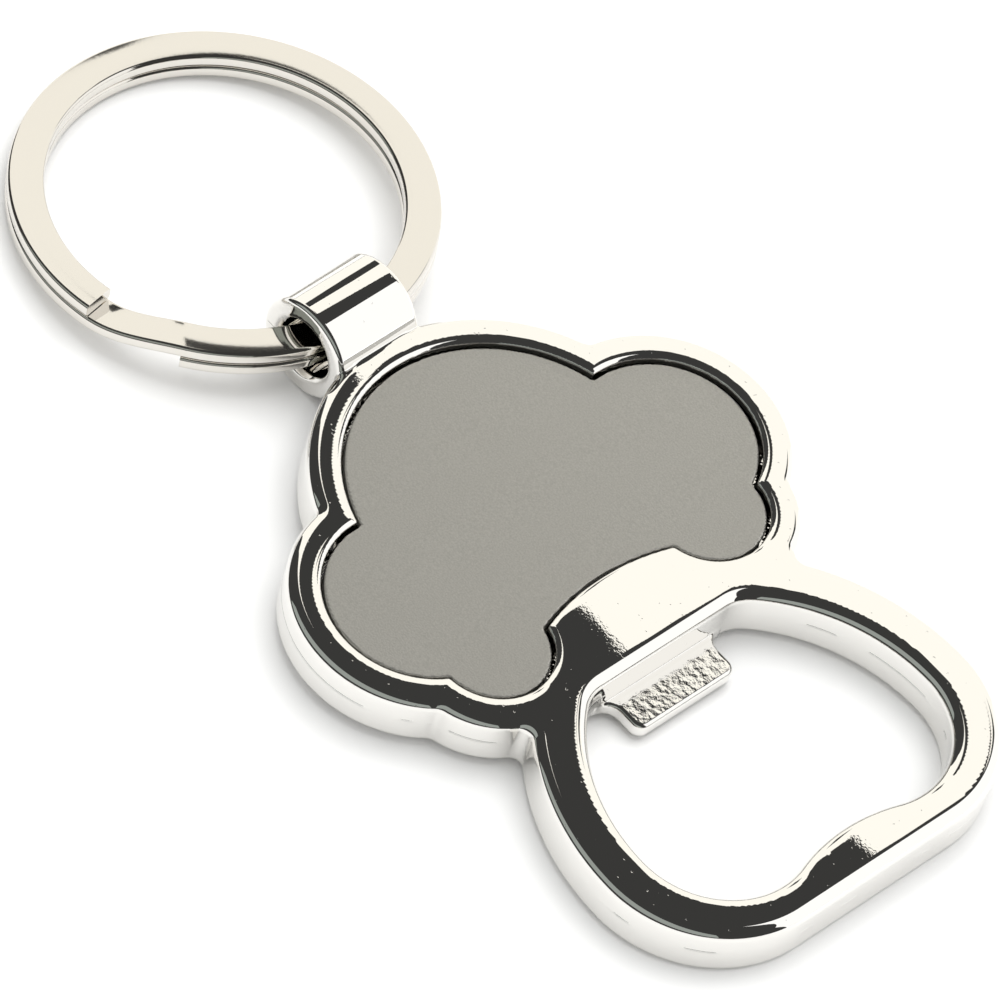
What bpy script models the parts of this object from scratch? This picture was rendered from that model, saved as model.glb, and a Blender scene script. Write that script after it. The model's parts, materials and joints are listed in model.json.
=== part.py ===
"""Keychain bottle opener: a die-cast body with a cloud-shaped name plate, and a flat split ring.

Metres, +Z up. The opener lies on its back on the plane z = 0, long axis along X, split ring towards -X. It rests on
the ring lug, which is thicker than the body, and on the far end of the opener loop, so the body leans by a degree or
two. The body and the plate are drawn level, with the centre of the large front lobe at x = y = 0 and the back face at
z = 0, and an empty leans them. The split ring hangs from a second empty on its hinge axis in the lug.
"""

import math

import bmesh
import bpy
from mathutils import Matrix, Vector

MM = 0.001

# Body
BODY_THICKNESS = 4.5 * MM
BODY_EDGE_ROUND = 0.9 * MM
RIM_WIDTH = 2.8 * MM
NOTCH_ROUND = 0.9 * MM

# Name plate: a large lobe on the axis, two pairs of side lobes, and a hollow arc facing the loop
LARGE_LOBE = (0.0, 0.0, 12.0 * MM)
SIDE_LOBE = (3.85 * MM, 12.1 * MM, 7.1 * MM)
SMALL_LOBE = (10.2 * MM, 10.8 * MM, 4.3 * MM)
HOLLOW_ARC = (30.1 * MM, 0.0, -20.2 * MM)
PLATE_NOTCH_ROUND = 0.3 * MM
PLATE_THICKNESS = 0.8 * MM
PLATE_SUNK = 0.4 * MM
PLATE_GAP = 0.3 * MM
ADHESIVE_THICKNESS = 0.2 * MM
ADHESIVE_INSET = 0.8 * MM
POCKET_DEPTH = PLATE_SUNK + PLATE_THICKNESS + ADHESIVE_THICKNESS + 2 * PLATE_GAP
BACK_PANEL_DEPTH = 0.35 * MM

# Opener loop: the outside, and the opening that takes the crown cap
LOOP_WIDEST_X = 30.3 * MM
LOOP_HALF_WIDTH = 18.0 * MM
LOOP_FLANK_RADIUS = 20.6 * MM
LOOP_CORNER_RADIUS = 10.3 * MM
OPENING_START_X = 17.25 * MM
OPENING_HALF_WIDTH = 14.1 * MM
OPENING_START_RADIUS = 3.3 * MM
OPENING_FLANK_RADIUS = 16.0 * MM
OPENING_CORNER_RADIUS = 7.1 * MM
FULCRUM_X = 36.3 * MM

# Lip that catches the cap's skirt
LIP_REACH = 3.4 * MM
LIP_HALF_WIDTH = 4.9 * MM
LIP_ROOT_FLARE = 1.3 * MM
LIP_THICKNESS = 1.3 * MM
LIP_CORNER_ROUND = 0.9 * MM
LIP_EDGE_ROUND = 0.25 * MM

# Lug for the split ring: a barrel across the body
LUG_X = -17.9 * MM
LUG_Z = 2.85 * MM
LUG_RADIUS = 4.1 * MM
LUG_LENGTH = 7.9 * MM
LUG_EDGE_ROUND = 0.5 * MM
LUG_HOLE_RADIUS = 2.35 * MM
LUG_MOUTH_ROUND = 0.7 * MM

# Split ring: flat wire wound into two turns
RING_OUTER_RADIUS = 16.0 * MM
WIRE_WIDTH = 2.75 * MM
WIRE_THICKNESS = 1.05 * MM
WIRE_EDGE_ROUND = 0.22 * MM
TURN_GAP = 0.1 * MM
RING_DROP_IN_HOLE = 0.15 * MM
LOWER_END_ANGLE = -54.0
UPPER_END_ANGLE = -81.5
RING_SIDE_SHIFT = 1.4 * MM

ARC_STEP = 9.0
RING_STEP = 6.0
BEVEL_STEPS = 3
TURN_STEPS = 40
SMOOTH_ANGLE = 35.0
SAME_POINT = 0.02 * MM

WIRE_CENTRE_RADIUS = RING_OUTER_RADIUS - WIRE_WIDTH / 2
RING_THICKNESS = 2 * WIRE_THICKNESS + TURN_GAP
LOOP_END_X = LOOP_WIDEST_X + LOOP_CORNER_RADIUS


def rest_lean():
    """Angle that lowers the loop's far end to the plane that the lug's barrel rests on."""
    foot_x = LOOP_END_X - BODY_EDGE_ROUND
    lug_to_foot = foot_x - LUG_X
    slant = math.hypot(lug_to_foot, LUG_Z)
    return math.asin(LUG_RADIUS / slant) - math.atan2(LUG_Z, lug_to_foot)


def ring_advance():
    """How far the ring moves along the body to centre its curved wire in the lug's straight hole."""
    far_mouth = LUG_LENGTH / 2 - LUG_MOUTH_ROUND + RING_SIDE_SHIFT
    return (WIRE_CENTRE_RADIUS - math.sqrt(WIRE_CENTRE_RADIUS ** 2 - far_mouth ** 2)) / 2


def ring_droop():
    """Angle below the horizontal at which the ring's far edge touches the plane that the lug rests on."""
    wire_height = LUG_RADIUS - RING_DROP_IN_HOLE
    reach = WIRE_CENTRE_RADIUS + RING_OUTER_RADIUS - ring_advance()
    slant = math.hypot(reach, RING_THICKNESS / 2)
    return math.asin(wire_height / slant) - math.atan2(RING_THICKNESS / 2, reach)


# ---------------------------------------------------------------- outlines

def heading(centre, target):
    """Direction from one point to another, in degrees."""
    return math.degrees(math.atan2(target[1] - centre[1], target[0] - centre[0]))


def arc(disc, start, end):
    """Points on a disc's edge from one angle to another: clockwise on a solid disc, the other way on a hollow one."""
    x, y, radius = disc
    sweep = (end - start) % 360 if radius < 0 else -((start - end) % 360)
    steps = max(2, math.ceil(abs(sweep) / ARC_STEP))
    angles = [math.radians(start + sweep * i / steps) for i in range(steps + 1)]
    return [(x + abs(radius) * math.cos(a), y + abs(radius) * math.sin(a)) for a in angles]


def notch_disc(first, second, radius):
    """Hollow disc that rounds the notch where two discs cross, for an outline that runs clockwise over them."""
    ax, ay, ar = first
    bx, by, br = second
    to_first = abs(ar + radius)
    to_second = abs(br + radius)
    span = math.hypot(bx - ax, by - ay)
    along = (to_first ** 2 - to_second ** 2 + span ** 2) / (2 * span)
    aside = math.copysign(math.sqrt(to_first ** 2 - along ** 2), br)
    ux = (bx - ax) / span
    uy = (by - ay) / span
    return (ax + along * ux - aside * uy, ay + along * uy + aside * ux, -radius)


def touch(joint, disc):
    """Direction from a notch disc's centre to the point where it touches a solid or a hollow disc."""
    return heading(disc, joint) if disc[2] < 0 else heading(joint, disc)


def chain(discs, start, end, notch):
    """Outline that runs over a row of discs and rounds the notch between each two."""
    points = []
    at = start
    for disc, following in zip(discs, discs[1:]):
        joint = notch_disc(disc, following, notch)
        points += arc(disc, at, heading(disc, joint))
        points += arc(joint, touch(joint, disc), touch(joint, following))
        at = heading(following, joint)
    return points + arc(discs[-1], at, end)


def mirrored(half):
    """Closed outline from its y >= 0 half, which starts and ends on the X axis, with repeated points dropped."""
    whole = half + [(x, -y) for x, y in reversed(half)]
    kept = []
    for point in whole:
        if not kept or math.dist(point, kept[-1]) > SAME_POINT:
            kept.append(point)
    if math.dist(kept[0], kept[-1]) < SAME_POINT:
        kept.pop()
    return kept


def cloud(growth, notch):
    """Outline of the name plate, grown by a margin."""
    lobes = [LARGE_LOBE, SIDE_LOBE, SMALL_LOBE, HOLLOW_ARC]
    grown = [(x, y, radius + growth) for x, y, radius in lobes]
    return mirrored(chain(grown, 180, 180, notch))


def body_outline():
    """Outside of the casting: the rim round the plate, then the loop."""
    lobes = [(x, y, radius + RIM_WIDTH) for x, y, radius in (LARGE_LOBE, SIDE_LOBE, SMALL_LOBE)]
    flank = (LOOP_WIDEST_X, LOOP_HALF_WIDTH - LOOP_FLANK_RADIUS, LOOP_FLANK_RADIUS)
    corner = (LOOP_WIDEST_X, LOOP_HALF_WIDTH - LOOP_CORNER_RADIUS, LOOP_CORNER_RADIUS)
    half = chain(lobes + [flank], 180, 90, NOTCH_ROUND) + arc(corner, 90, 0)
    return mirrored([(-LARGE_LOBE[2] - RIM_WIDTH, 0)] + half + [(LOOP_END_X, 0)])


def opening_outline():
    """Opening for the cap: a straight wall at the lip, arched flanks, and a far edge that swells inwards."""
    flank = (LOOP_WIDEST_X, OPENING_HALF_WIDTH - OPENING_FLANK_RADIUS, OPENING_FLANK_RADIUS)
    corner = (LOOP_WIDEST_X, OPENING_HALF_WIDTH - OPENING_CORNER_RADIUS, OPENING_CORNER_RADIUS)
    start_x = OPENING_START_X + OPENING_START_RADIUS
    from_flank = OPENING_FLANK_RADIUS - OPENING_START_RADIUS
    start_y = flank[1] + math.sqrt(from_flank ** 2 - (start_x - flank[0]) ** 2)
    start = (start_x, start_y, OPENING_START_RADIUS)
    swell_x = FULCRUM_X - corner[0]
    swell_radius = (swell_x ** 2 + corner[1] ** 2 - corner[2] ** 2) / (2 * (corner[2] - swell_x))
    swell = (FULCRUM_X + swell_radius, 0.0, -swell_radius)
    half = [(OPENING_START_X, 0)]
    half += arc(start, 180, heading(flank, start))
    half += arc(flank, heading(flank, start), 90)
    half += arc(corner, 90, heading(corner, swell))
    half += arc(swell, heading(swell, corner), 180)
    return mirrored(half)


def lip_outline():
    """Lip seen from above: it starts inside the casting, flares at its root and has rounded tip corners."""
    tip_x = OPENING_START_X + LIP_REACH
    tip = (tip_x - LIP_CORNER_ROUND, LIP_HALF_WIDTH - LIP_CORNER_ROUND, LIP_CORNER_ROUND)
    flare = (OPENING_START_X + LIP_ROOT_FLARE, LIP_HALF_WIDTH + LIP_ROOT_FLARE, -LIP_ROOT_FLARE)
    inside_x = OPENING_START_X - BODY_EDGE_ROUND
    half = [(inside_x, 0), (inside_x, LIP_HALF_WIDTH + LIP_ROOT_FLARE)]
    half += arc(flare, 180, 270)
    half += arc(tip, 90, 0)
    return mirrored(half + [(tip_x, 0)])


# ---------------------------------------------------------------- Blender helpers

def clear_scene():
    for obj in list(bpy.data.objects):
        bpy.data.objects.remove(obj, do_unlink=True)


def new_collection(name):
    group = bpy.data.collections.new(name)
    bpy.context.scene.collection.children.link(group)
    return group


def metal(name, colour, roughness, metallic=1.0):
    material = bpy.data.materials.new(name)
    material.use_nodes = True
    shader = material.node_tree.nodes["Principled BSDF"]
    shader.inputs["Base Color"].default_value = (*colour, 1.0)
    shader.inputs["Roughness"].default_value = roughness
    shader.inputs["Metallic"].default_value = metallic
    return material


def add_object(name, mesh, group, material=None, parent=None):
    obj = bpy.data.objects.new(name, mesh)
    group.objects.link(obj)
    obj.parent = parent
    if material:
        mesh.materials.clear()
        mesh.materials.append(material)
    return obj


def shade(obj):
    """Smooth shading, except over edges sharper than the angle."""
    obj.data.shade_smooth()
    obj.data.set_sharp_from_angle(angle=math.radians(SMOOTH_ANGLE))


def new_empty(name, group):
    empty = bpy.data.objects.new(name, None)
    group.objects.link(empty)
    return empty


def curve_to_mesh(curve):
    """Mesh of a flat curve, with its loose caps welded on, each cap in a few large faces, and all faces out."""
    holder = bpy.data.objects.new("outline", curve)
    bpy.context.scene.collection.objects.link(holder)
    bpy.context.view_layer.update()
    evaluated = holder.evaluated_get(bpy.context.evaluated_depsgraph_get())
    mesh = bpy.data.meshes.new_from_object(evaluated)
    bpy.data.objects.remove(holder, do_unlink=True)
    bpy.data.curves.remove(curve)
    work = bmesh.new()
    work.from_mesh(mesh)
    bmesh.ops.remove_doubles(work, verts=work.verts, dist=0.001 * MM)
    bmesh.ops.dissolve_limit(work, angle_limit=math.radians(0.5), verts=work.verts, edges=work.edges)
    bmesh.ops.recalc_face_normals(work, faces=work.faces)
    work.to_mesh(mesh)
    work.free()
    return mesh


def slab(name, outlines, low, high):
    """Flat piece between two heights, with the first outline outside and any others cut out of it."""
    curve = bpy.data.curves.new(name, "CURVE")
    curve.dimensions = "2D"
    curve.fill_mode = "BOTH"
    curve.extrude = (high - low) / 2
    for outline in outlines:
        spline = curve.splines.new("POLY")
        spline.points.add(len(outline) - 1)
        spline.use_cyclic_u = True
        for point, (x, y) in zip(spline.points, outline):
            point.co = (x, y, 0.0, 1.0)
    mesh = curve_to_mesh(curve)
    mesh.transform(Matrix.Translation((0, 0, (low + high) / 2)))
    return mesh


def round_edges(obj, width):
    bevel = obj.modifiers.new("round_edges", "BEVEL")
    bevel.width = width
    bevel.segments = BEVEL_STEPS
    bevel.limit_method = "ANGLE"
    bevel.angle_limit = math.radians(50)
    bevel.use_clamp_overlap = False


def combine(obj, other, operation):
    boolean = obj.modifiers.new(other.name, "BOOLEAN")
    boolean.object = other
    boolean.operation = operation
    boolean.solver = "EXACT"


def as_cutter(obj):
    obj.hide_render = True
    obj.display_type = "WIRE"
    return obj


def turned(name, profile, group):
    """Solid turned about the Y axis from a profile of (radius, place along the axis) points."""
    mesh = bpy.data.meshes.new(name)
    mesh.from_pydata([(radius, 0, y) for radius, y in profile], [(i, i + 1) for i in range(len(profile) - 1)], [])
    mesh.validate()
    obj = add_object(name, mesh, group)
    screw = obj.modifiers.new("turn", "SCREW")
    screw.steps = TURN_STEPS
    screw.render_steps = TURN_STEPS
    screw.use_merge_vertices = True
    screw.merge_threshold = 0.00001
    obj.rotation_euler = (math.radians(-90), 0, 0)
    return obj


# ---------------------------------------------------------------- pieces

def lug_barrel(group, level):
    """Barrel of the lug, with rounded ends."""
    half = LUG_LENGTH / 2
    edge = LUG_EDGE_ROUND
    quarter = [math.radians(90 * i / BEVEL_STEPS) for i in range(BEVEL_STEPS + 1)]
    top = [(LUG_RADIUS - edge + edge * math.sin(a), half - edge + edge * math.cos(a)) for a in quarter]
    bottom = [(radius, -y) for radius, y in reversed(top)]
    barrel = turned("lug_barrel", [(0, half)] + top + bottom + [(0, -half)], group)
    barrel.parent = level
    barrel.location = (LUG_X, 0, LUG_Z)
    return as_cutter(barrel)


def lug_hole(group, level):
    """Hole through the lug, which opens out at both mouths."""
    half = LUG_LENGTH / 2
    edge = LUG_MOUTH_ROUND
    quarter = [math.radians(90 * i / BEVEL_STEPS) for i in range(BEVEL_STEPS + 1)]
    mouth = [(LUG_HOLE_RADIUS + edge - edge * math.cos(a), half - edge + edge * math.sin(a)) for a in quarter]
    outside = (LUG_HOLE_RADIUS + edge, half + edge)
    top = [outside] + list(reversed(mouth))
    bottom = [(radius, -y) for radius, y in reversed(top)]
    hole = turned("lug_hole", [(0, half + edge)] + top + bottom + [(0, -half - edge)], group)
    hole.parent = level
    hole.location = (LUG_X, 0, LUG_Z)
    return as_cutter(hole)


def opener_body(group, cutters, level):
    """The casting: rim, floor and loop in one slab, with the lip and the lug joined and the pockets cut."""
    plated = metal("bright_plating", (0.86, 0.85, 0.83), 0.08)
    outline = slab("opener_body", [body_outline(), opening_outline()], 0, BODY_THICKNESS)
    body = add_object("opener_body", outline, group, plated, level)
    round_edges(body, BODY_EDGE_ROUND)

    lip = as_cutter(add_object("lip", slab("lip", [lip_outline()], 0, LIP_THICKNESS), cutters, parent=level))
    round_edges(lip, LIP_EDGE_ROUND)

    pocket_floor = BODY_THICKNESS - POCKET_DEPTH
    pocket_outline = cloud(PLATE_GAP, PLATE_NOTCH_ROUND)
    pocket_mesh = slab("plate_pocket", [pocket_outline], pocket_floor, BODY_THICKNESS + MM)
    pocket = as_cutter(add_object("plate_pocket", pocket_mesh, cutters, parent=level))

    panel_mesh = slab("back_panel", [cloud(0, PLATE_NOTCH_ROUND)], -MM, BACK_PANEL_DEPTH)
    panel = as_cutter(add_object("back_panel", panel_mesh, cutters, parent=level))

    combine(body, pocket, "DIFFERENCE")
    combine(body, panel, "DIFFERENCE")
    combine(body, lip, "UNION")
    combine(body, lug_barrel(cutters, level), "UNION")
    combine(body, lug_hole(cutters, level), "DIFFERENCE")
    return body


def face_plate(group, level):
    """Plain satin name plate, sunk a little below the rim."""
    satin = metal("satin_plate", (0.39, 0.38, 0.35), 0.5, 0.6)
    top = BODY_THICKNESS - PLATE_SUNK
    mesh = slab("face_plate", [cloud(0, PLATE_NOTCH_ROUND)], top - PLATE_THICKNESS, top)
    return add_object("face_plate", mesh, group, satin, level)


def plate_adhesive(group, level):
    """Thin adhesive pad that holds the name plate in its pocket."""
    pad = metal("adhesive", (0.85, 0.84, 0.78), 0.6, 0.0)
    low = BODY_THICKNESS - POCKET_DEPTH + PLATE_GAP
    mesh = slab("plate_adhesive", [cloud(-ADHESIVE_INSET, PLATE_NOTCH_ROUND)], low, low + ADHESIVE_THICKNESS)
    return add_object("plate_adhesive", mesh, group, pad, level)


def wire_section():
    """Flat wire's section, as (across, up) points with rounded corners."""
    across = WIRE_WIDTH / 2 - WIRE_EDGE_ROUND
    up = WIRE_THICKNESS / 2 - WIRE_EDGE_ROUND
    points = []
    for corner, (side, level) in enumerate(((1, 1), (-1, 1), (-1, -1), (1, -1))):
        for angle in (0, 45, 90):
            turn = math.radians(90 * corner + angle)
            x = side * across + WIRE_EDGE_ROUND * math.cos(turn)
            y = level * up + WIRE_EDGE_ROUND * math.sin(turn)
            points.append((x, y))
    return points


def wire_height(angle):
    """Height of the wire's centre: the lower turn, a smooth rise between the two ends, then the upper turn."""
    rise = WIRE_THICKNESS + TURN_GAP
    part = (angle - (UPPER_END_ANGLE + 360)) / (LOWER_END_ANGLE - UPPER_END_ANGLE)
    part = min(1.0, max(0.0, part))
    return rise * (part * part * (3 - 2 * part) - 0.5)


def split_ring(group, hinge):
    """Flat wire wound into two turns, one above the other, swept from its lower end to its upper end."""
    steel = metal("ring_steel", (0.84, 0.82, 0.78), 0.15)
    section = wire_section()
    last = UPPER_END_ANGLE + 720
    steps = math.ceil((last - LOWER_END_ANGLE) / RING_STEP)
    work = bmesh.new()
    loops = []
    for i in range(steps + 1):
        angle = LOWER_END_ANGLE + (last - LOWER_END_ANGLE) * i / steps
        turn = math.radians(angle)
        lift = wire_height(angle)
        loop = []
        for across, up in section:
            radius = WIRE_CENTRE_RADIUS + across
            place = (radius * math.cos(turn) - WIRE_CENTRE_RADIUS, radius * math.sin(turn), lift + up)
            loop.append(work.verts.new(place))
        loops.append(loop)
    for near, far in zip(loops, loops[1:]):
        for i in range(len(section)):
            j = (i + 1) % len(section)
            work.faces.new((near[i], near[j], far[j], far[i]))
    work.faces.new(loops[0])
    work.faces.new(loops[-1])
    bmesh.ops.recalc_face_normals(work, faces=work.faces)
    mesh = bpy.data.meshes.new("split_ring")
    work.to_mesh(mesh)
    work.free()
    ring = add_object("split_ring", mesh, group, steel, hinge)
    ring.location = (ring_advance(), RING_SIDE_SHIFT, 0)
    return ring


def main():
    clear_scene()
    parts = new_collection("keychain_bottle_opener")
    cutters = new_collection("cutters")

    lean = rest_lean()
    droop = ring_droop()
    lug_over_plane = LUG_RADIUS
    far_end = -(WIRE_CENTRE_RADIUS + RING_OUTER_RADIUS - ring_advance()) * math.cos(droop)
    near_end = (LOOP_END_X - LUG_X) * math.cos(lean)
    lug_x = -(far_end + near_end) / 2

    hinge = new_empty("ring_hinge", parts)
    hinge.location = (lug_x, 0, lug_over_plane - RING_DROP_IN_HOLE)
    hinge.rotation_euler = (0, -droop, 0)

    level = new_empty("opener_level", parts)
    level.rotation_euler = (0, lean, 0)
    lug_from_origin = Matrix.Rotation(lean, 3, "Y") @ Vector((LUG_X, 0, LUG_Z))
    level.location = Vector((lug_x, 0, lug_over_plane)) - lug_from_origin

    opener_body(parts, cutters, level)
    face_plate(parts, level)
    plate_adhesive(parts, level)
    split_ring(parts, hinge)
    for obj in parts.objects:
        if obj.type == "MESH":
            shade(obj)
    bpy.context.view_layer.update()


main()
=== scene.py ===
"""Looks of the keychain bottle opener: finer metal pieces, their materials, a studio and the camera.

The body and the name plate are described by signed distances, negative inside the metal, in the body's own
level frame: x along the opener, z up from its back face. Their meshes are then laid where the CAD has them.
Lengths are in millimetres until they are multiplied by MM; names that end in _M hold metres.
"""

import json
import math

import bmesh
import bpy
import numpy as np
from mathutils import Matrix, Vector


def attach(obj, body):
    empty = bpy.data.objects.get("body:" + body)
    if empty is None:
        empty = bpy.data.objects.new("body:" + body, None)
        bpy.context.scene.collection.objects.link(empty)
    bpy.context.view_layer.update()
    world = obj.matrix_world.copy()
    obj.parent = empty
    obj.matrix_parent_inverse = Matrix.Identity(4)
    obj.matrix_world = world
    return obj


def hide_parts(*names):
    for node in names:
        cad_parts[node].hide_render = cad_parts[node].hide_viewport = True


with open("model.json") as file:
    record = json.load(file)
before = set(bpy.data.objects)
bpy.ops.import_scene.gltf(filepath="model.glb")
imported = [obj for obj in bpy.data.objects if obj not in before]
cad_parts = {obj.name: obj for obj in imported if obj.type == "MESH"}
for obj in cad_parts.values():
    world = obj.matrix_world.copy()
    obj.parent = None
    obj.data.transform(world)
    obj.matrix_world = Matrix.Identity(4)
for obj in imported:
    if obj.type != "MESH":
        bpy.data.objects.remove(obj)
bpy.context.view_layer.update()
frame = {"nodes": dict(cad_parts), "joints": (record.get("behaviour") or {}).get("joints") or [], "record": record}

MM = 0.001

# Body and pocket
BODY_THICKNESS = 4.5
RIM_WIDTH = 2.8
NOTCH_ROUND = 0.9
EDGE_ACROSS = 1.0
EDGE_DOWN = 0.85
BACK_EDGE_ROUND = 0.6
POCKET_EDGE_ACROSS = 0.7
POCKET_EDGE_DOWN = 0.3
POCKET_DEPTH = 1.85
BACK_PANEL_DEPTH = 0.35
BACK_PANEL_ROUND = 0.3
PARTING_HEIGHT = 2.3
PARTING_HALF_WIDTH = 0.1

# Name plate
LARGE_LOBE = (0.0, 0.0, 12.0)
SIDE_LOBE = (3.85, 12.1, 7.1)
SMALL_LOBE = (10.2, 10.8, 4.3)
HOLLOW_ARC = (30.1, 0.0, -20.2)
PLATE_NOTCH_ROUND = 0.3
PLATE_GROWTH = 0.02
PLATE_THICKNESS = 0.8
PLATE_SUNK = 0.4
PLATE_EDGE_ROUND = 0.08
PLATE_GAP = 0.3

# Opener loop, its opening and its lip, whose straight walls run a little past the axis that mirrors them
WALLS_PAST_AXIS = 1.0
LOOP_WIDEST_X = 30.3
LOOP_HALF_WIDTH = 18.0
LOOP_FLANK_RADIUS = 20.6
LOOP_CORNER_RADIUS = 10.3
OPENING_START_X = 17.25
OPENING_HALF_WIDTH = 14.1
OPENING_START_RADIUS = 3.3
OPENING_FLANK_RADIUS = 16.0
OPENING_CORNER_RADIUS = 7.1
FULCRUM_X = 36.3
LIP_REACH = 3.4
LIP_HALF_WIDTH = 4.9
LIP_ROOT_FLARE = 1.3
LIP_ROOT_DEPTH = 1.0
LIP_THICKNESS = 1.3
LIP_CORNER_ROUND = 0.9
LIP_EDGE_ROUND = 0.3
LIP_FILLET = 0.3
CAST_SKIN_START = 0.4
CAST_SKIN_SIDE = 1.0
CAST_SKIN_MARGIN = 0.1

# Lug
LUG_X = -17.9
LUG_Z = 2.85
LUG_RADIUS = 4.1
LUG_LENGTH = 7.9
LUG_EDGE_ROUND = 0.45
LUG_FILLET = 0.35
LUG_HOLE_RADIUS = 2.35
LUG_MOUTH_ROUND = 0.7

# Split ring
RING_OUTER_RADIUS = 16.0
WIRE_WIDTH = 2.75
WIRE_THICKNESS = 1.05
WIRE_EDGE_ROUND = 0.3
TURN_GAP = 0.1
RING_DROP_IN_HOLE = 0.15
LOWER_END_ANGLE = -54.0
UPPER_END_ANGLE = -81.5
RING_SIDE_SHIFT = 1.4
TWO_TURNS = 720
RING_STEP = 2.0
SECTION_STEP = 15
SHARP_EDGE_ANGLE = 40

# Grids that the meshes are cut from, a little larger than the solids in them
BODY_CELL = 0.2
BODY_GRID_MARGIN = 1
BODY_GRID_HALF_WIDTH = 23.0
PLATE_CELL = 0.2
PLATE_GRID_MARGIN = 0.5
PLATE_GRID_X = (-13.5, 16.0)
PLATE_GRID_HALF_WIDTH = 20.5

# Steps that draw the corners of a mesh onto its surface
NEWTON_STEPS = 5
SLOPE_STEP = 0.002
LEAST_SQUARED_SLOPE = 0.04
LONGEST_MOVE = 0.1

# Allowances for rounding in sums
SLACK = 1e-6
TINY = 1e-9


# ---------------------------------------------------------------- outlines as signed distances

def heading(centre, target):
    """Direction from one point to another, in degrees."""
    return math.degrees(math.atan2(target[1] - centre[1], target[0] - centre[0]))


def notch_disc(first, second, radius):
    """Hollow disc that rounds the notch between two discs, for an outline that runs clockwise over them."""
    ax, ay, ar = first
    bx, by, br = second
    to_first = abs(ar + radius)
    to_second = abs(br + radius)
    span = math.hypot(bx - ax, by - ay)
    along = (to_first ** 2 - to_second ** 2 + span ** 2) / (2 * span)
    aside = math.copysign(math.sqrt(to_first ** 2 - along ** 2), br)
    ux = (bx - ax) / span
    uy = (by - ay) / span
    return (ax + along * ux - aside * uy, ay + along * uy + aside * ux, -radius)


def touch(joint, disc):
    """Direction from a notch disc's centre to the point where it touches a solid or a hollow disc."""
    return heading(disc, joint) if disc[2] < 0 else heading(joint, disc)


def chain(discs, start, end, notch):
    """Arcs over a row of discs, with the notch between each two rounded: a list of (disc, start, end)."""
    arcs = []
    at = start
    for disc, following in zip(discs, discs[1:]):
        joint = notch_disc(disc, following, notch)
        arcs.append((disc, at, heading(disc, joint)))
        arcs.append((joint, touch(joint, disc), touch(joint, following)))
        at = heading(following, joint)
    arcs.append((discs[-1], at, end))
    return arcs


def cloud_arcs():
    """Cloud shape of the plate, over its lobes and then along the hollow side towards the loop."""
    return chain([LARGE_LOBE, SIDE_LOBE, SMALL_LOBE, HOLLOW_ARC], 180, 180, PLATE_NOTCH_ROUND)


def body_arcs():
    """Outside of the casting: the cloud's lobes with a rim round them, then the loop."""
    lobes = [(x, y, radius + RIM_WIDTH) for x, y, radius in (LARGE_LOBE, SIDE_LOBE, SMALL_LOBE)]
    flank = (LOOP_WIDEST_X, LOOP_HALF_WIDTH - LOOP_FLANK_RADIUS, LOOP_FLANK_RADIUS)
    corner = (LOOP_WIDEST_X, LOOP_HALF_WIDTH - LOOP_CORNER_RADIUS, LOOP_CORNER_RADIUS)
    return chain(lobes + [flank], 180, 90, NOTCH_ROUND) + [(corner, 90, 0)]


def opening_arcs():
    """Opening of the loop, which ends in the swell that a cap is levered against."""
    flank = (LOOP_WIDEST_X, OPENING_HALF_WIDTH - OPENING_FLANK_RADIUS, OPENING_FLANK_RADIUS)
    corner = (LOOP_WIDEST_X, OPENING_HALF_WIDTH - OPENING_CORNER_RADIUS, OPENING_CORNER_RADIUS)
    start_x = OPENING_START_X + OPENING_START_RADIUS
    from_flank = OPENING_FLANK_RADIUS - OPENING_START_RADIUS
    start_y = flank[1] + math.sqrt(from_flank ** 2 - (start_x - flank[0]) ** 2)
    start = (start_x, start_y, OPENING_START_RADIUS)
    swell_x = FULCRUM_X - corner[0]
    swell_radius = (swell_x ** 2 + corner[1] ** 2 - corner[2] ** 2) / (2 * (corner[2] - swell_x))
    swell = (FULCRUM_X + swell_radius, 0.0, -swell_radius)
    return [
        (start, 180, heading(flank, start)),
        (flank, heading(flank, start), 90),
        (corner, 90, heading(corner, swell)),
        (swell, heading(swell, corner), 180),
    ]


def lip_arcs():
    """Lip that hooks under a cap, flared where it leaves the body."""
    tip_x = OPENING_START_X + LIP_REACH
    tip = (tip_x - LIP_CORNER_ROUND, LIP_HALF_WIDTH - LIP_CORNER_ROUND, LIP_CORNER_ROUND)
    flare = (OPENING_START_X + LIP_ROOT_FLARE, LIP_HALF_WIDTH + LIP_ROOT_FLARE, -LIP_ROOT_FLARE)
    return [(flare, 180, 270), (tip, 90, 0)]


def arc_distance(x, y, disc, start, end):
    """Signed distance to an arc, and its size, which is endless where the point isn't beside the arc."""
    cx, cy, radius = disc
    out = np.hypot(x - cx, y - cy) - abs(radius)
    angle = np.degrees(np.arctan2(y - cy, x - cx))
    if radius > 0:
        beside = (start - angle) % 360 <= (start - end) % 360 + SLACK
    else:
        beside = (angle - start) % 360 <= (end - start) % 360 + SLACK
        out = -out
    return out, np.where(beside, np.abs(out), np.inf)


def line_distance(x, y, start, end):
    """Signed distance to a straight stretch with the metal on its right, and its size, as for an arc."""
    length = math.dist(start, end)
    ux = (end[0] - start[0]) / length
    uy = (end[1] - start[1]) / length
    out = (y - start[1]) * ux - (x - start[0]) * uy
    along = (x - start[0]) * ux + (y - start[1]) * uy
    beside = (along >= -SLACK) & (along <= length + SLACK)
    return out, np.where(beside, np.abs(out), np.inf)


def outline_distance(x, y, arcs, lines=()):
    """Signed distance to a smooth outline that is the same on both sides of the x axis."""
    y = np.abs(y)
    found = [arc_distance(x, y, *arc) for arc in arcs] + [line_distance(x, y, *line) for line in lines]
    signed = np.stack([pair[0] for pair in found])
    size = np.stack([pair[1] for pair in found])
    nearest = size.argmin(axis=0)[None]
    return np.take_along_axis(signed, nearest, axis=0)[0]


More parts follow.
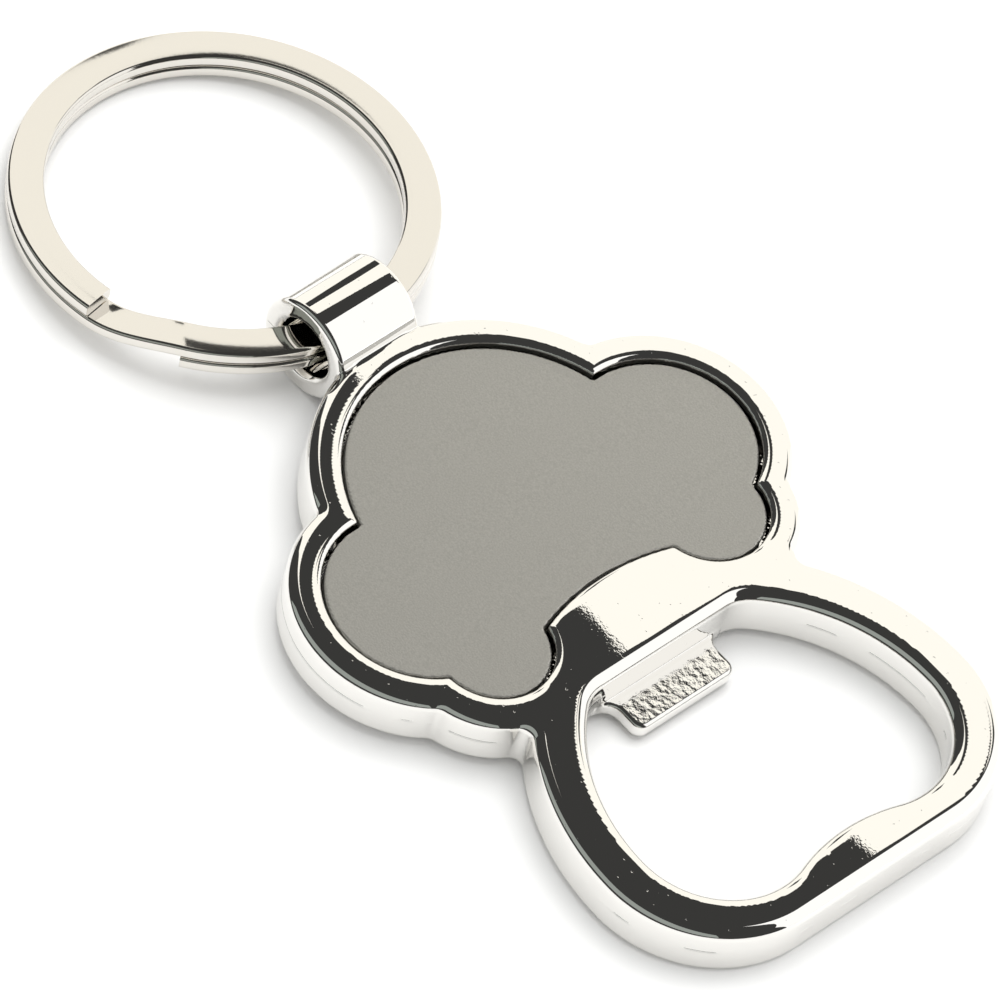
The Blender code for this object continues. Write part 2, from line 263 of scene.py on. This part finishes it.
# ---------------------------------------------------------------- solids as signed distances

def rounded(wall, face, across, down):
    """Where two solids cross, with the edge between them rounded as part of an ellipse."""
    u = wall / across
    v = face / down
    corner = np.hypot(np.maximum(u + 1, 0), np.maximum(v + 1, 0))
    return across * (np.minimum(np.maximum(u, v), -1) + corner)


def joined(first, second, fillet):
    """Two solids joined, with a fillet between them."""
    corner = np.hypot(np.maximum(fillet - first, 0), np.maximum(fillet - second, 0))
    return np.maximum(np.minimum(first, second), fillet) - corner


def cloud_distance(x, y):
    return outline_distance(x, y, cloud_arcs())


def body_walls(x, y):
    """Outer wall and the opening's wall together."""
    end_x = LOOP_WIDEST_X + LOOP_CORNER_RADIUS
    end_y = LOOP_HALF_WIDTH - LOOP_CORNER_RADIUS
    outside = outline_distance(x, y, body_arcs(), [((end_x, end_y), (end_x, -end_y))])
    start_y = opening_arcs()[0][0][1]
    start_wall = ((OPENING_START_X, -WALLS_PAST_AXIS), (OPENING_START_X, start_y))
    opening = outline_distance(x, y, opening_arcs(), [start_wall])
    return np.maximum(outside, -opening)


def lip_distance(x, y, z):
    tip_x = OPENING_START_X + LIP_REACH
    flare_x = OPENING_START_X + LIP_ROOT_FLARE
    side = ((flare_x, LIP_HALF_WIDTH), (tip_x - LIP_CORNER_ROUND, LIP_HALF_WIDTH))
    front = ((tip_x, LIP_HALF_WIDTH - LIP_CORNER_ROUND), (tip_x, -WALLS_PAST_AXIS))
    flat = outline_distance(x, y, lip_arcs(), [side, front])
    middle = LIP_THICKNESS / 2
    root = np.maximum(OPENING_START_X - LIP_ROOT_DEPTH - x, np.abs(y) - LIP_HALF_WIDTH - LIP_ROOT_FLARE)
    return rounded(np.maximum(flat, root), np.abs(z - middle) - middle, LIP_EDGE_ROUND, LIP_EDGE_ROUND)


def body_distance(x, y, z, walls=None, cloud=None):
    """The casting: rim, floor, loop, lip and lug. A grid can hand in the two distances its layers share."""
    walls = body_walls(x, y) if walls is None else walls
    cloud = cloud_distance(x, y) if cloud is None else cloud
    solid = rounded(walls, z - BODY_THICKNESS, EDGE_ACROSS, EDGE_DOWN)
    solid = rounded(solid, -z, BACK_EDGE_ROUND, BACK_EDGE_ROUND)
    pocket = np.maximum(cloud - PLATE_GAP, BODY_THICKNESS - POCKET_DEPTH - z)
    solid = rounded(-pocket, solid, POCKET_EDGE_ACROSS, POCKET_EDGE_DOWN)
    panel = np.maximum(cloud, z - BACK_PANEL_DEPTH)
    solid = rounded(-panel, solid, BACK_PANEL_ROUND, BACK_PANEL_ROUND)
    solid = joined(solid, lip_distance(x, y, z), LIP_FILLET)
    from_lug = np.hypot(x - LUG_X, z - LUG_Z)
    barrel = rounded(from_lug - LUG_RADIUS, np.abs(y) - LUG_LENGTH / 2, LUG_EDGE_ROUND, LUG_EDGE_ROUND)
    solid = joined(solid, barrel, LUG_FILLET)
    return rounded(LUG_HOLE_RADIUS - from_lug, solid, LUG_MOUTH_ROUND, LUG_MOUTH_ROUND)


def plate_distance(x, y, z):
    top = BODY_THICKNESS - PLATE_SUNK
    middle = top - PLATE_THICKNESS / 2
    flat = cloud_distance(x, y) - PLATE_GROWTH
    return rounded(flat, np.abs(z - middle) - PLATE_THICKNESS / 2, PLATE_EDGE_ROUND, PLATE_EDGE_ROUND)


# ---------------------------------------------------------------- meshes from signed distances

def crossings(values, axes):
    """Corner points of a net: in each cell that the surface crosses, the mean of where it cuts the edges."""
    shape = tuple(n - 1 for n in values.shape)
    total = np.zeros(shape + (3,))
    count = np.zeros(shape)
    for axis in range(3):
        others = [a for a in range(3) if a != axis]
        for sides in ((0, 0), (0, 1), (1, 0), (1, 1)):
            low = [slice(None, -1)] * 3
            high = [slice(None, -1)] * 3
            spot = [0.0] * 3
            for other, side in zip(others, sides):
                low[other] = high[other] = slice(1, None) if side else slice(None, -1)
                spot[other] = side
            high[axis] = slice(1, None)
            a = values[tuple(low)]
            b = values[tuple(high)]
            cut = (a < 0) != (b < 0)
            spot[axis] = a / np.where(cut, a - b, 1.0)
            for i in range(3):
                total[..., i] += np.where(cut, spot[i], 0.0)
            count += cut
    used = count > 0
    cells = np.argwhere(used)
    inside = total[used] / count[used][:, None]
    columns = [axes[i][cells[:, i]] + inside[:, i] * (axes[i][1] - axes[i][0]) for i in range(3)]
    index = np.full(shape, -1)
    index[used] = np.arange(len(cells))
    return np.stack(columns, axis=1), index


def net_faces(values, index):
    """One square between the four cells round each grid edge that the surface cuts, facing out."""
    faces = []
    for axis in range(3):
        first, second = [a for a in range(3) if a != axis]
        low = [slice(1, -1)] * 3
        high = [slice(1, -1)] * 3
        low[axis] = slice(None, -1)
        high[axis] = slice(1, None)
        a = values[tuple(low)] < 0
        b = values[tuple(high)] < 0
        at = np.argwhere(a != b)
        leaving = a[tuple(at.T)]
        corners = []
        for du, dv in ((0, 0), (1, 0), (1, 1), (0, 1)):
            cell = at.copy()
            cell[:, first] += du
            cell[:, second] += dv
            corners.append(index[tuple(cell.T)])
        quad = np.stack(corners, axis=1)
        # Round the y axis, x and z follow each other the other way.
        flip = leaving if axis == 1 else ~leaving
        quad[flip] = quad[flip][:, ::-1]
        faces.append(quad)
    return np.concatenate(faces)


def slope(distance, points):
    """How fast the distance changes along x, y and z."""
    columns = []
    for i in range(3):
        step = np.zeros(3)
        step[i] = SLOPE_STEP
        ahead = distance(*(points + step).T)
        behind = distance(*(points - step).T)
        columns.append((ahead - behind) / (2 * SLOPE_STEP))
    return np.stack(columns, axis=1)


def solid_mesh(name, distance, values, axes):
    """Mesh of the surface where the distance is zero, with its corners drawn onto it, and true normals."""
    points, index = crossings(values, axes)
    faces = net_faces(values, index)
    for _ in range(NEWTON_STEPS):
        gradient = slope(distance, points)
        size = np.maximum((gradient ** 2).sum(axis=1), LEAST_SQUARED_SLOPE)
        move = gradient * (distance(*points.T) / size)[:, None]
        limit = np.maximum(np.linalg.norm(move, axis=1) / LONGEST_MOVE, 1.0)
        points = points - move / limit[:, None]
    gradient = slope(distance, points)
    normals = gradient / np.maximum(np.linalg.norm(gradient, axis=1), TINY)[:, None]
    mesh = bpy.data.meshes.new(name)
    mesh.from_pydata((points * MM).tolist(), [], faces.tolist())
    mesh.validate()
    mesh.shade_smooth()
    mesh.normals_split_custom_set_from_vertices(normals.tolist())
    return mesh


def grid_axes(low, high, cell):
    return [np.arange(a, b + cell, cell) for a, b in zip(low, high)]


def body_mesh():
    start_x = LUG_X - LUG_RADIUS - BODY_GRID_MARGIN
    end_x = LOOP_WIDEST_X + LOOP_CORNER_RADIUS + BODY_GRID_MARGIN
    bottom = LUG_Z - LUG_RADIUS - BODY_GRID_MARGIN
    top = LUG_Z + LUG_RADIUS + BODY_GRID_MARGIN
    low = (start_x, -BODY_GRID_HALF_WIDTH, bottom)
    high = (end_x, BODY_GRID_HALF_WIDTH, top)
    axes = grid_axes(low, high, BODY_CELL)
    x, y = np.meshgrid(axes[0], axes[1], indexing="ij")
    walls = body_walls(x, y)[..., None]
    cloud = cloud_distance(x, y)[..., None]
    x, y, z = np.meshgrid(*axes, indexing="ij")
    values = body_distance(x, y, z, walls, cloud)
    mesh = solid_mesh("opener_body_fine", body_distance, values, axes)
    mark_casting(mesh)
    return mesh


def mark_casting(mesh):
    """Gives the material each point's height, and the lip, which is left as rough as it was cast."""
    points = np.empty(len(mesh.vertices) * 3, dtype=np.float32)
    mesh.vertices.foreach_get("co", points)
    x, y, z = points.reshape(-1, 3).T / MM
    on_lip = (x > OPENING_START_X + CAST_SKIN_START) & (x < OPENING_START_X + LIP_REACH + CAST_SKIN_MARGIN)
    on_lip &= np.abs(y) < LIP_HALF_WIDTH + CAST_SKIN_SIDE
    on_lip &= z < LIP_THICKNESS + CAST_SKIN_MARGIN
    for name, numbers in (("cast_skin", on_lip.astype(np.float32)), ("height", z)):
        attribute = mesh.attributes.new(name, "FLOAT", "POINT")
        attribute.data.foreach_set("value", np.ascontiguousarray(numbers))


def plate_mesh():
    top = BODY_THICKNESS - PLATE_SUNK
    low = (PLATE_GRID_X[0], -PLATE_GRID_HALF_WIDTH, top - PLATE_THICKNESS - PLATE_GRID_MARGIN)
    high = (PLATE_GRID_X[1], PLATE_GRID_HALF_WIDTH, top + PLATE_GRID_MARGIN)
    axes = grid_axes(low, high, PLATE_CELL)
    values = plate_distance(*np.meshgrid(*axes, indexing="ij"))
    return solid_mesh("face_plate_fine", plate_distance, values, axes)


# ---------------------------------------------------------------- split ring

def wire_section():
    """Flat wire's section, as (across, up) points with rounded corners."""
    across = WIRE_WIDTH / 2 - WIRE_EDGE_ROUND
    up = WIRE_THICKNESS / 2 - WIRE_EDGE_ROUND
    points = []
    for corner, (side, level) in enumerate(((1, 1), (-1, 1), (-1, -1), (1, -1))):
        for angle in range(0, 91, SECTION_STEP):
            turn = math.radians(90 * corner + angle)
            point_across = side * across + WIRE_EDGE_ROUND * math.cos(turn)
            point_up = level * up + WIRE_EDGE_ROUND * math.sin(turn)
            points.append((point_across, point_up))
    return points


def wire_height(angle):
    """Height of the wire's centre: lower turn, smooth rise between the two ends, then the upper turn."""
    rise = WIRE_THICKNESS + TURN_GAP
    part = (angle - (UPPER_END_ANGLE + 360)) / (LOWER_END_ANGLE - UPPER_END_ANGLE)
    part = min(1.0, max(0.0, part))
    return rise * (part * part * (3 - 2 * part) - 0.5)


def ring_mesh():
    """Flat wire swept round two turns, with the origin on its middle line, where it is in the lug."""
    centre_radius = RING_OUTER_RADIUS - WIRE_WIDTH / 2
    section = wire_section()
    last = UPPER_END_ANGLE + TWO_TURNS
    steps = math.ceil((last - LOWER_END_ANGLE) / RING_STEP)
    work = bmesh.new()
    loops = []
    for i in range(steps + 1):
        angle = LOWER_END_ANGLE + (last - LOWER_END_ANGLE) * i / steps
        turn = math.radians(angle)
        lift = wire_height(angle)
        loop = []
        for across, up in section:
            radius = centre_radius + across
            corner = Vector((radius * math.cos(turn) - centre_radius, radius * math.sin(turn), lift + up))
            loop.append(work.verts.new(corner * MM))
        loops.append(loop)
    for near, far in zip(loops, loops[1:]):
        for i in range(len(section)):
            j = (i + 1) % len(section)
            work.faces.new((near[i], near[j], far[j], far[i]))
    work.faces.new(loops[0])
    work.faces.new(loops[-1])
    bmesh.ops.recalc_face_normals(work, faces=work.faces)
    mesh = bpy.data.meshes.new("split_ring_fine")
    work.to_mesh(mesh)
    work.free()
    mesh.shade_smooth()
    mesh.set_sharp_from_angle(angle=math.radians(SHARP_EDGE_ANGLE))
    return mesh


# ---------------------------------------------------------------- places

def level_matrix():
    """From the body's level frame to the row frame, worked out from the mount on the plate's face."""
    mount = next(m for m in frame["record"]["mounts"] if m["name"] == "plate_face")
    lean = math.atan2(mount["axis"][0], mount["axis"][2])
    turn = Matrix.Rotation(lean, 4, "Y")
    face = turn @ Vector((0, 0, (BODY_THICKNESS - PLATE_SUNK) * MM))
    return Matrix.Translation(Vector(mount["pos_m"]) - face) @ turn


def ring_matrix():
    """From the ring's own frame to the row frame, drooping from the hinge in the lug to the ground."""
    centre_radius = RING_OUTER_RADIUS - WIRE_WIDTH / 2
    thickness = 2 * WIRE_THICKNESS + TURN_GAP
    far_mouth = LUG_LENGTH / 2 - LUG_MOUTH_ROUND + RING_SIDE_SHIFT
    advance = (centre_radius - math.sqrt(centre_radius ** 2 - far_mouth ** 2)) / 2
    reach = centre_radius + RING_OUTER_RADIUS - advance
    slant = math.hypot(reach, thickness / 2)
    droop = math.asin((LUG_RADIUS - RING_DROP_IN_HOLE) / slant) - math.atan2(thickness / 2, reach)
    hinge = Matrix.Translation(frame["joints"][0]["pos_m"]) @ Matrix.Rotation(-droop, 4, "Y")
    return hinge @ Matrix.Translation((advance * MM, RING_SIDE_SHIFT * MM, 0))


def place(name, mesh, matrix, material, body, node):
    """Lays a finished mesh over the CAD node that it replaces, moving with that node's body."""
    mesh.transform(matrix)
    obj = bpy.data.objects.new(name, mesh)
    bpy.context.scene.collection.objects.link(obj)
    mesh.materials.append(material)
    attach(obj, body)
    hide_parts(node)


# ---------------------------------------------------------------- materials

def new_material(name, colour, roughness, metallic):
    material = bpy.data.materials.new(name)
    material.use_nodes = True
    shader = material.node_tree.nodes["Principled BSDF"]
    shader.inputs["Base Color"].default_value = (*colour, 1.0)
    shader.inputs["Roughness"].default_value = roughness
    shader.inputs["Metallic"].default_value = metallic
    return material, material.node_tree, shader


def noise(tree, waves, detail):
    """Noise over the object's own coordinates, with this many waves in a millimetre."""
    coordinates = tree.nodes.new("ShaderNodeTexCoord")
    mapping = tree.nodes.new("ShaderNodeMapping")
    mapping.inputs["Scale"].default_value = [waves / MM] * 3
    texture = tree.nodes.new("ShaderNodeTexNoise")
    texture.inputs["Scale"].default_value = 1.0
    texture.inputs["Detail"].default_value = detail
    tree.links.new(coordinates.outputs["Object"], mapping.inputs["Vector"])
    tree.links.new(mapping.outputs["Vector"], texture.inputs["Vector"])
    return texture.outputs["Fac"]


def bumps(tree, shader, layers):
    """Lays bumps over one another, from pairs of a pattern and how high it stands in millimetres."""
    before = None
    for pattern, height in layers:
        node = tree.nodes.new("ShaderNodeBump")
        node.inputs["Strength"].default_value = 1.0
        node.inputs["Distance"].default_value = height * MM
        tree.links.new(pattern, node.inputs["Height"])
        if before:
            tree.links.new(before.outputs["Normal"], node.inputs["Normal"])
        before = node
    tree.links.new(before.outputs["Normal"], shader.inputs["Normal"])


def ramp(tree, value, start, end):
    """Runs smoothly from 0 to 1 as the value goes from the start to the end, whichever is larger."""
    node = tree.nodes.new("ShaderNodeMapRange")
    node.interpolation_type = "SMOOTHSTEP"
    node.inputs["From Min"].default_value = start
    node.inputs["From Max"].default_value = end
    tree.links.new(value, node.inputs["Value"])
    return node.outputs["Result"]


def marked(tree, name):
    """Number that the mesh holds at each point under this name."""
    node = tree.nodes.new("ShaderNodeAttribute")
    node.attribute_name = name
    return node.outputs["Fac"]


def calculated(tree, operation, first, second):
    """One step of arithmetic on a value and on either another value or a plain number."""
    node = tree.nodes.new("ShaderNodeMath")
    node.operation = operation
    tree.links.new(first, node.inputs[0])
    if isinstance(second, float):
        node.inputs[1].default_value = second
    else:
        tree.links.new(second, node.inputs[1])
    return node.outputs["Value"]


def parting_line(tree):
    """Thin broken ridge where the two halves of the die met, half-way up the walls."""
    offset = calculated(tree, "SUBTRACT", marked(tree, "height"), PARTING_HEIGHT)
    squared = calculated(tree, "MULTIPLY", offset, offset)
    ridge = ramp(tree, squared, start=PARTING_HALF_WIDTH ** 2, end=0.0)
    left_over = ramp(tree, noise(tree, waves=0.25, detail=2.0), start=0.48, end=0.56)
    return calculated(tree, "MULTIPLY", ridge, left_over)


def plated_metal():
    """Bright nickel over a casting, which still shows the marks of its die and its rough lip."""
    colour = (0.85, 0.836, 0.808)
    material, tree, shader = new_material("bright_plating", colour, roughness=0.005, metallic=1.0)
    ripple = noise(tree, waves=0.2, detail=1.0)
    peel = noise(tree, waves=4.0, detail=2.0)
    pits = ramp(tree, noise(tree, waves=3.5, detail=0.0), start=0.88, end=0.83)
    skin = calculated(tree, "MULTIPLY", noise(tree, waves=1.7, detail=4.0), marked(tree, "cast_skin"))
    layers = [(ripple, 0.002), (peel, 0.0002), (pits, 0.005), (parting_line(tree), 0.06), (skin, 0.025)]
    bumps(tree, shader, layers)
    return material


def mottle(tree, shader, value, dark, pale):
    """Colours the shader from dark to pale as the value goes from a quarter to three quarters."""
    colours = tree.nodes.new("ShaderNodeValToRGB")
    for element, position, colour in zip(colours.color_ramp.elements, (0.25, 0.75), (dark, pale)):
        element.position = position
        element.color = (*colour, 1.0)
    tree.links.new(value, colours.inputs["Fac"])
    tree.links.new(colours.outputs["Color"], shader.inputs["Base Color"])


def satin_metal():
    """Blasted aluminium: a fine grain in both its height and its tone."""
    colour = (0.49, 0.48, 0.447)
    material, tree, shader = new_material("satin_plate", colour, roughness=0.42, metallic=0.85)
    grain = noise(tree, waves=7.0, detail=2.0)
    mottle(tree, shader, grain, dark=(0.44, 0.431, 0.4), pale=(0.54, 0.529, 0.493))
    bumps(tree, shader, [(grain, 0.008)])
    return material


def ring_metal():
    """Plated spring steel, a little duller than the casting."""
    colour = (0.74, 0.712, 0.665)
    material, tree, shader = new_material("ring_steel", colour, roughness=0.07, metallic=1.0)
    bumps(tree, shader, [(noise(tree, waves=3.0, detail=3.0), 0.001)])
    return material


def pad_foam():
    """Pale foam of the pad that holds the plate."""
    colour = (0.85, 0.84, 0.78)
    material, tree, shader = new_material("adhesive_pad", colour, roughness=0.7, metallic=0.0)
    bumps(tree, shader, [(noise(tree, waves=4.0, detail=3.0), 0.02)])
    return material


# ---------------------------------------------------------------- studio and camera

# Colours with their brightness: three for cards, the room in reflections, and the fill on dull surfaces
CREAM = (1.14, 1.115, 1.035)
WHITE = (1.16, 1.16, 1.15)
HAZE = (0.3, 0.33, 0.31)
ROOM = (0.047, 0.047, 0.046)
FILL = (0.92, 0.92, 0.92)

# Cards: a name, two opposite corners in the body's level frame, and a colour
CARDS = [
    ("end_card", (-131, 270, 204), (-90, 270, 411), CREAM),
    ("strip_card", (-337, 270, 204), (-131, 270, 418), CREAM),
    ("ring_card", (-413, 270, 310), (-337, 270, 800), CREAM),
    ("left_card", (-1200, 270, 0), (-413, 270, 800), CREAM),
    ("shoulder_card", (-90, 270, 204), (-30, 270, 345), CREAM),
    ("low_card", (-413, 270, 0), (15, 270, 204), CREAM),
    ("right_card", (15, 270, 0), (900, 270, 700), WHITE),
    ("back_card", (-800, -400, 140), (800, -400, 560), HAZE),
]

TABLE_POWER = 8.0
TABLE_LIGHT_SIZE = (900, 900)
TABLE_LIGHT_PLACE_M = (-0.1, 0.25, 1.1)
FLOOR_SIZE_M = 6.0

# Camera: its angles in the body's level frame, and how far it aims from a point above the frame's origin
CAMERA_AZIMUTH = -58.19
CAMERA_ELEVATION = 52.07
CAMERA_ROLL = 19.69
CAMERA_DISTANCE = 1155.0
CAMERA_LENS = 576.0
SENSOR_WIDTH = 36.0
CAMERA_CLIP_M = (0.01, 10.0)
AIM_ACROSS = 0.5697
AIM_DOWN = -1.2523
AIM_HEIGHT = BODY_THICKNESS - 0.3754


def view_axes():
    """Camera's right, down and forward directions in the body's level frame."""
    azimuth = math.radians(CAMERA_AZIMUTH)
    elevation = math.radians(CAMERA_ELEVATION)
    roll = math.radians(CAMERA_ROLL)
    level_part = math.cos(elevation)
    forward = -Vector((level_part * math.cos(azimuth), level_part * math.sin(azimuth), math.sin(elevation)))
    right = forward.cross(Vector((0, 0, 1))).normalized()
    down = -right.cross(forward)
    turned_right = math.cos(roll) * right - math.sin(roll) * down
    turned_down = math.sin(roll) * right + math.cos(roll) * down
    return turned_right, turned_down, forward


def add_camera(level):
    right, down, forward = view_axes()
    aim = Vector((0, 0, AIM_HEIGHT)) - AIM_ACROSS * right - AIM_DOWN * down
    data = bpy.data.cameras.new("camera")
    data.lens = CAMERA_LENS
    data.sensor_width = SENSOR_WIDTH
    data.clip_start, data.clip_end = CAMERA_CLIP_M
    camera = bpy.data.objects.new("camera", data)
    bpy.context.scene.collection.objects.link(camera)
    turn = Matrix((right, -down, -forward)).transposed().to_4x4()
    spot = Matrix.Translation((aim - CAMERA_DISTANCE * forward) * MM)
    camera.matrix_world = level @ spot @ turn
    bpy.context.scene.camera = camera


def add_floor():
    bpy.ops.mesh.primitive_plane_add(size=FLOOR_SIZE_M, location=(0, 0, 0))
    floor = bpy.context.object
    floor.name = "floor"
    material, tree, shader = new_material("floor_white", (0.9, 0.9, 0.89), roughness=0.6, metallic=0.0)
    bumps(tree, shader, [(noise(tree, waves=0.02, detail=2.0), 0.01)])
    floor.data.materials.append(material)


def add_light(name, size, colour, power):
    """Flat rectangular light, unseen by the camera."""
    data = bpy.data.lights.new(name, "AREA")
    data.shape = "RECTANGLE"
    data.size = size[0] * MM
    data.size_y = size[1] * MM
    data.energy = power
    data.color = colour
    light = bpy.data.objects.new(name, data)
    bpy.context.scene.collection.objects.link(light)
    light.visible_camera = False
    return light


def add_card(name, low, high, colour, level):
    """Soft box that only reflections see: an upright rectangle between two corners, facing the opener."""
    width = high[0] - low[0]
    height = high[2] - low[2]
    brightness = max(colour)
    tint = [channel / brightness for channel in colour]
    # A flat light of this power looks just as bright as the colour says, whatever its size.
    power = brightness * math.pi * width * height * MM ** 2
    card = add_light(name, (width, height), tint, power)
    middle = (Vector(low) + Vector(high)) / 2 * MM
    away = Vector((0, low[1], 0))
    turn = away.to_track_quat("Z", "Y").to_matrix().to_4x4()
    card.matrix_world = level @ Matrix.Translation(middle) @ turn
    card.visible_diffuse = False
    card.visible_shadow = False


def add_table_light():
    """Soft light from above that only lights the table and other dull surfaces."""
    light = add_light("table_light", TABLE_LIGHT_SIZE, (1.0, 1.0, 1.0), TABLE_POWER)
    light.location = TABLE_LIGHT_PLACE_M
    light.rotation_euler = light.location.to_track_quat("Z", "Y").to_euler()
    light.visible_glossy = False


def add_world():
    """Dark room for reflections, with pale light from all sides for the dull surfaces."""
    world = bpy.data.worlds.new("studio")
    world.use_nodes = True
    bpy.context.scene.world = world
    tree = world.node_tree
    dark = tree.nodes["Background"]
    dark.inputs["Color"].default_value = (*ROOM, 1.0)
    pale = tree.nodes.new("ShaderNodeBackground")
    pale.inputs["Color"].default_value = (*FILL, 1.0)
    path = tree.nodes.new("ShaderNodeLightPath")
    mix = tree.nodes.new("ShaderNodeMixShader")
    tree.links.new(path.outputs["Is Diffuse Ray"], mix.inputs["Fac"])
    tree.links.new(dark.outputs["Background"], mix.inputs[1])
    tree.links.new(pale.outputs["Background"], mix.inputs[2])
    tree.links.new(mix.outputs["Shader"], tree.nodes["World Output"].inputs["Surface"])


def add_studio(level):
    bpy.context.scene.view_settings.view_transform = "Standard"
    add_world()
    add_floor()
    for name, low, high, colour in CARDS:
        add_card(name, low, high, colour, level)
    add_table_light()


def main():
    level = level_matrix()
    add_camera(level)
    add_studio(level)
    plated = plated_metal()
    place("opener_casting", body_mesh(), level, plated, "opener", "opener_body")
    place("name_plate", plate_mesh(), level, satin_metal(), "opener", "face_plate")
    place("key_ring", ring_mesh(), ring_matrix(), ring_metal(), "ring", "split_ring")
    pad = frame["nodes"]["plate_adhesive"]
    pad.data.materials.clear()
    pad.data.materials.append(pad_foam())


main()
